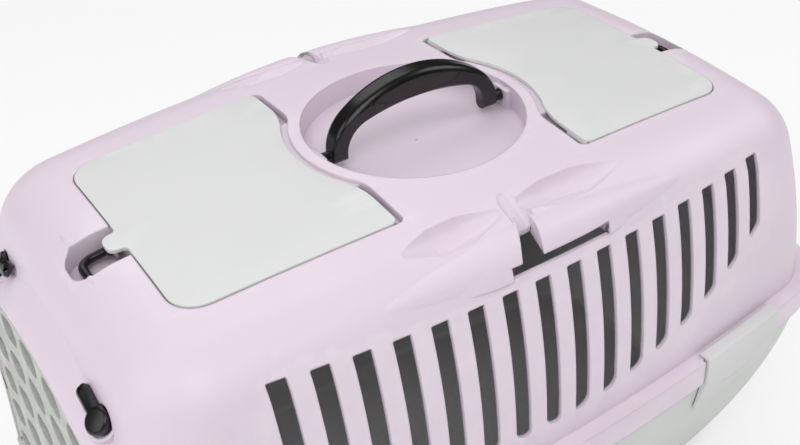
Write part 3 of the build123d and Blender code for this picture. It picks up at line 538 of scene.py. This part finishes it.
# Node: new name, body, finish, slot, width of the rounding in metres, steps of the rounding
roundings = {
    "door": ("doorLattice", "door", "doorGrey", "door_grey", 0.0024, 4),
    "front_lid": ("frontLidPanel", "front_lid", "lidGrey", "lid_grey", 0.0009, 3),
    "rear_lid": ("rearLidPanel", "rear_lid", "lidGrey", "lid_grey", 0.0009, 3),
    "front_clip_left": ("frontClipLeftBody", "front_clip_left", "lidGrey", "clip_grey", 0.0007, 3),
    "front_clip_right": ("frontClipRightBody", "front_clip_right", "lidGrey", "clip_grey", 0.0007, 3),
    "rear_clip_left": ("rearClipLeftBody", "rear_clip_left", "lidGrey", "clip_grey", 0.0007, 3),
    "rear_clip_right": ("rearClipRightBody", "rear_clip_right", "lidGrey", "clip_grey", 0.0007, 3),
}
for nodeName, (pieceName, body, finish, slot, width, segments) in roundings.items():
    roundedCopy(nodeName, pieceName, body, finish, width, segments)


# Door levers: a round hub and a ridged arm
lever = {
    "hubSides": 48,
    "hubRadius": 0.0080,
    "hubLow": 0.0005,
    "hubHigh": 0.0064,
    "hubRound": 0.0021,
    "armLength": 0.0240,
    "armWidth": 0.0082,
    "armLow": 0.0019,
    "armSide": 0.0042,
    "armHigh": 0.0062,
    "crestShare": (0.86, 0.42, 1),  # the ridge's length and width beside the arm's
    "crestBack": 0.0010,
    "tipReach": 0.004,
    "tipHeight": 0.001,  # an edge that climbs more than this stands up
    "tipRound": 0.0030,
    "roundSteps": 4,
    "edge": 0.0005,
    "edgeSteps": 2,
    "edgeAngle": 28,
    "smoothAngle": 30,
    "turn": 13.8,
}


def edgeAtTip(arm, edge):
    first, second = (arm.data.vertices[v].co for v in edge.vertices)
    reach = lever["armLength"] - lever["tipReach"]
    return first.x > reach and second.x > reach and abs(first.z - second.z) > lever["tipHeight"]


def buildLever(name, joint, side):
    bpy.ops.object.select_all(action="DESELECT")
    height = lever["hubHigh"] - lever["hubLow"]
    bpy.ops.mesh.primitive_cylinder_add(vertices=lever["hubSides"], radius=lever["hubRadius"],
                                        depth=height, location=(0, 0, lever["hubLow"] + height / 2))
    hub = bpy.context.object
    bpy.ops.object.transform_apply(location=True, rotation=True, scale=True)
    bpy.ops.object.mode_set(mode="EDIT")
    selectFaces(hub, facesUp)
    bpy.ops.mesh.bevel(offset=lever["hubRound"], segments=lever["roundSteps"], affect="EDGES")
    bpy.ops.object.mode_set(mode="OBJECT")
    bpy.ops.object.select_all(action="DESELECT")
    bpy.ops.mesh.primitive_cube_add(size=1, location=(0, 0, 0))
    arm = bpy.context.object
    arm.scale = (lever["armLength"], lever["armWidth"], lever["armSide"] - lever["armLow"])
    arm.location = (lever["armLength"] / 2, 0, (lever["armSide"] + lever["armLow"]) / 2)
    bpy.ops.object.transform_apply(location=True, rotation=True, scale=True)
    bpy.ops.object.mode_set(mode="EDIT")
    selectFaces(arm, facesUp)
    rise = lever["armHigh"] - lever["armSide"]
    bpy.ops.mesh.extrude_region_move(TRANSFORM_OT_translate={"value": (0, 0, rise)})
    bpy.ops.transform.resize(value=lever["crestShare"])
    bpy.ops.transform.translate(value=(-lever["crestBack"], 0, 0))
    bpy.ops.object.mode_set(mode="OBJECT")
    selectEdges(arm, [edge for edge in arm.data.edges if edgeAtTip(arm, edge)])
    bpy.ops.mesh.bevel(offset=lever["tipRound"], segments=lever["roundSteps"], affect="EDGES")
    bpy.ops.object.mode_set(mode="OBJECT")
    applyModifier(hub, "BOOLEAN", operation="UNION", object=arm, solver="EXACT")
    bpy.data.objects.remove(arm)
    hub.name = name
    applyModifier(hub, "BEVEL", width=lever["edge"], segments=lever["edgeSteps"],
                  limit_method="ANGLE", angle_limit=math.radians(lever["edgeAngle"]))
    seat = Vector(joint["pos_m"])
    normal = Vector(joint["axis"]) * (1 if side < 0 else -1)
    inward = Vector((0, -side, 0))
    inward = (inward - normal * inward.dot(normal)).normalized()
    inward = Matrix.Rotation(math.radians(side * lever["turn"]), 3, normal) @ inward
    turn = Matrix((inward, normal.cross(inward), normal)).transposed()
    hub.data.transform(Matrix.Translation(seat) @ turn.to_4x4())
    return hub


leverJoints = {joint["child"]: joint for joint in frame["joints"]}
for side, word in ((-1, "left"), (1, "right")):
    piece = buildLever("doorLever" + word.capitalize(), leverJoints["lever_" + word], side)
    finishPiece(piece, "lever_" + word, "blackSatin", lever["smoothAngle"])
    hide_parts("door_lever_" + word)
print("levers modelled")

# Belt guide flaps: a cigar shape over each long shoulder, parted by a slanted gap
flap = {
    "middle": -0.0030,
    "out": 0.1310,
    "height": 0.3060,
    "halfLength": 0.0930,
    "radius": 0.0205,
    "leastShare": 0.02,  # of the radius, at the pointed ends
    "sides": 96,
    "stations": 30,
    "endShare": 0.995,
    "fullness": 3.0,
    "taper": 0.8,
    "bottom": 0.3055,
    "slotTop": 0.3145,
    "slotFront": -0.0325,
    "slotRear": 0.0415,
    "gapInnerOut": 0.1280,
    "gapOuterOut": 0.1520,
    "frontGap": (-0.0135, -0.0265),  # x of the flap's end at the inner and the outer side
    "rearGap": (-0.0030, -0.0105),
    "cutterWidth": 0.08,
    "cutterBelow": 0.002,
    "edge": 0.0008,
    "edgeSteps": 3,
    "edgeAngle": 40,
    "smoothAngle": 40,
}


def flapRadius(share):
    swell = (1 - abs(share) ** flap["fullness"]) ** flap["taper"]
    return flap["radius"] * max(flap["leastShare"], swell)


def buildCigar(name, side):
    steps = flap["stations"]
    shares = [-math.cos(math.pi * i / steps) * flap["endShare"] for i in range(steps + 1)]
    bpy.ops.object.select_all(action="DESELECT")
    start = (flap["middle"] + shares[0] * flap["halfLength"], side * flap["out"], flap["height"])
    bpy.ops.mesh.primitive_circle_add(vertices=flap["sides"], radius=flapRadius(shares[0]),
                                      fill_type="NGON", location=start,
                                      rotation=(0, math.pi / 2, 0))
    cigar = bpy.context.object
    cigar.name = name
    bpy.ops.object.transform_apply(location=True, rotation=True, scale=True)
    bpy.ops.object.mode_set(mode="EDIT")
    bpy.ops.mesh.select_all(action="SELECT")
    for low, high in zip(shares, shares[1:]):
        move = ((high - low) * flap["halfLength"], 0, 0)
        bpy.ops.mesh.extrude_region_move(TRANSFORM_OT_translate={"value": move})
        grow = flapRadius(high) / flapRadius(low)
        bpy.ops.transform.resize(value=(1, grow, grow))
    bpy.ops.mesh.select_all(action="SELECT")
    bpy.ops.mesh.normals_make_consistent(inside=False)
    bpy.ops.object.mode_set(mode="OBJECT")
    return cigar


def cutFlap(thing, side, gap, keepFront):
    inner = Vector((gap[0], side * flap["gapInnerOut"], 0))
    outer = Vector((gap[1], side * flap["gapOuterOut"], 0))
    across = (outer - inner).cross(Vector((0, 0, 1))).normalized()
    if (across.x > 0) != keepFront:
        across = -across
    only(thing)
    bpy.ops.object.mode_set(mode="EDIT")
    for place, normal in ((inner, across), (Vector((0, 0, flap["bottom"])), Vector((0, 0, -1)))):
        bpy.ops.mesh.select_all(action="SELECT")
        bpy.ops.mesh.bisect(plane_co=place, plane_no=normal, clear_outer=True, use_fill=True)
    bpy.ops.object.mode_set(mode="OBJECT")
    length = flap["slotRear"] - flap["slotFront"]
    depth = flap["slotTop"] - flap["bottom"] + flap["cutterBelow"]
    bpy.ops.object.select_all(action="DESELECT")
    bpy.ops.mesh.primitive_cube_add(
        size=1, location=((flap["slotRear"] + flap["slotFront"]) / 2, side * flap["out"],
                          flap["slotTop"] - depth / 2))
    cutter = bpy.context.object
    cutter.scale = (length, flap["cutterWidth"], depth)
    bpy.ops.object.transform_apply(location=True, rotation=True, scale=True)
    applyModifier(thing, "BOOLEAN", operation="DIFFERENCE", object=cutter, solver="EXACT")
    bpy.data.objects.remove(cutter)
    applyModifier(thing, "BEVEL", width=flap["edge"], segments=flap["edgeSteps"],
                  limit_method="ANGLE", angle_limit=math.radians(flap["edgeAngle"]))


for side, hand in ((-1, "Left"), (1, "Right")):
    for keepFront, word in ((True, "Front"), (False, "Rear")):
        piece = buildCigar("beltFlap" + hand + word, side)
        cutFlap(piece, side, flap["frontGap"] if keepFront else flap["rearGap"], keepFront)
        finishPiece(piece, "shells", "shellLilac", flap["smoothAngle"])
print("belt guide flaps modelled")


# Finger rib of a clip: an arc of round bar low on its outer face
fingerRib = {
    "major": 0.0150,
    "minor": 0.0009,
    "ringSteps": 96,
    "barSteps": 12,
    "keep": 0.0092,
    "stretch": 1.25,
    "flat": 0.55,
    "clipMiddle": 0.160,
    "rayStart": 0.30,
    "height": 0.1330,
    "endRound": 0.0005,
    "endSteps": 2,
    "endAngle": 50,
    "smoothAngle": 50,
}


def buildFingerRib(name, place, outward):
    bpy.ops.object.select_all(action="DESELECT")
    bpy.ops.mesh.primitive_torus_add(major_segments=fingerRib["ringSteps"],
                                     minor_segments=fingerRib["barSteps"],
                                     major_radius=fingerRib["major"],
                                     minor_radius=fingerRib["minor"])
    rib = bpy.context.object
    bpy.ops.object.mode_set(mode="EDIT")
    bpy.ops.mesh.select_all(action="SELECT")
    bpy.ops.mesh.bisect(plane_co=(0, fingerRib["keep"], 0), plane_no=(0, 1, 0),
                        clear_inner=True, use_fill=True)
    bpy.ops.mesh.select_all(action="SELECT")
    bpy.ops.transform.translate(value=(0, -fingerRib["major"], 0))
    bpy.ops.transform.resize(value=(fingerRib["stretch"], 1, fingerRib["flat"]))
    bpy.ops.object.mode_set(mode="OBJECT")
    applyModifier(rib, "BEVEL", width=fingerRib["endRound"], segments=fingerRib["endSteps"],
                  limit_method="ANGLE", angle_limit=math.radians(fingerRib["endAngle"]))
    rib.name = name
    along = Vector((outward.y, -outward.x, 0)).normalized()
    turn = Matrix((along, outward.cross(along), outward)).transposed()
    if turn.determinant() < 0:
        turn = Matrix((-along, outward.cross(-along), outward)).transposed()
    rib.data.transform(Matrix.Translation(place) @ turn.to_4x4())
    return rib


def surfacePoint(thing, origin, direction):
    hit, place, normal, _ = thing.ray_cast(Vector(origin), Vector(direction))
    return (place, normal) if hit else (None, None)


for end, word in ((-1, "front"), (1, "rear")):
    for side, hand in ((-1, "left"), (1, "right")):
        clip = word + "_clip_" + hand
        body = word + "Clip" + hand.capitalize()
        start = (end * fingerRib["clipMiddle"], side * fingerRib["rayStart"], fingerRib["height"])
        place, normal = surfacePoint(bpy.data.objects[body + "Body"], start, (0, -side, 0))
        if place is None:
            print("no face for a finger rib on", clip)
            continue
        rib = buildFingerRib(body + "FingerRib", place, normal)
        finishPiece(rib, clip, "lidGrey", fingerRib["smoothAngle"])
print("finger ribs modelled")


# Moulding marks: small dished discs, at the gate point in the recess and the ends of the grip inlays
dish = {
    "sides": 28,
    "rimShare": 0.35,
    "depthShare": 0.35,
    "edgeShare": 0.3,
    "edgeSteps": 2,
    "edgeAngle": 30,
    "smoothAngle": 30,
}
gatePoint = {"place": (-0.002, -0.004, 0.3174), "radius": 0.0011, "height": 0.0005, "stretch": 1.0}
inlayEnd = {"along": 0.0345, "rayStart": 0.05, "level": 0.3574, "radius": 0.0010, "height": 0.0005,
            "stretch": 1.9}


def buildMark(name, place, size, direction):
    radius, height = size["radius"], size["height"]
    bpy.ops.object.select_all(action="DESELECT")
    bpy.ops.mesh.primitive_cylinder_add(vertices=dish["sides"], radius=radius, depth=height)
    mark = bpy.context.object
    bpy.ops.object.mode_set(mode="EDIT")
    selectFaces(mark, facesUp)
    bpy.ops.mesh.inset(thickness=radius * dish["rimShare"], depth=0)
    bpy.ops.transform.translate(value=(0, 0, -height * dish["depthShare"]))
    bpy.ops.mesh.select_all(action="SELECT")
    bpy.ops.transform.resize(value=(size["stretch"], 1, 1))
    bpy.ops.object.mode_set(mode="OBJECT")
    applyModifier(mark, "BEVEL", width=height * dish["edgeShare"], segments=dish["edgeSteps"],
                  limit_method="ANGLE", angle_limit=math.radians(dish["edgeAngle"]))
    mark.name = name
    turn = Vector((0, 0, 1)).rotation_difference(direction).to_matrix().to_4x4()
    mark.data.transform(Matrix.Translation(place) @ turn)
    return mark


gateMark = buildMark("recessGateMark", Vector(gatePoint["place"]), gatePoint, Vector((0, 0, 1)))
finishPiece(gateMark, "shells", "shellLilac", dish["smoothAngle"])
for side, hand in ((-1, "Left"), (1, "Right")):
    for end, word in ((-1, "Front"), (1, "Rear")):
        start = (end * inlayEnd["along"], side * inlayEnd["rayStart"], inlayEnd["level"])
        place, normal = surfacePoint(nodes["carrying_handle"], start, (0, -side, 0))
        if place is None:
            print("no face for an inlay mark", hand, word)
            continue
        mark = buildMark("inlayMark" + hand + word, place, inlayEnd, normal)
        finishPiece(mark, "handle", "blackSatin", dish["smoothAngle"])
print("moulding marks modelled")
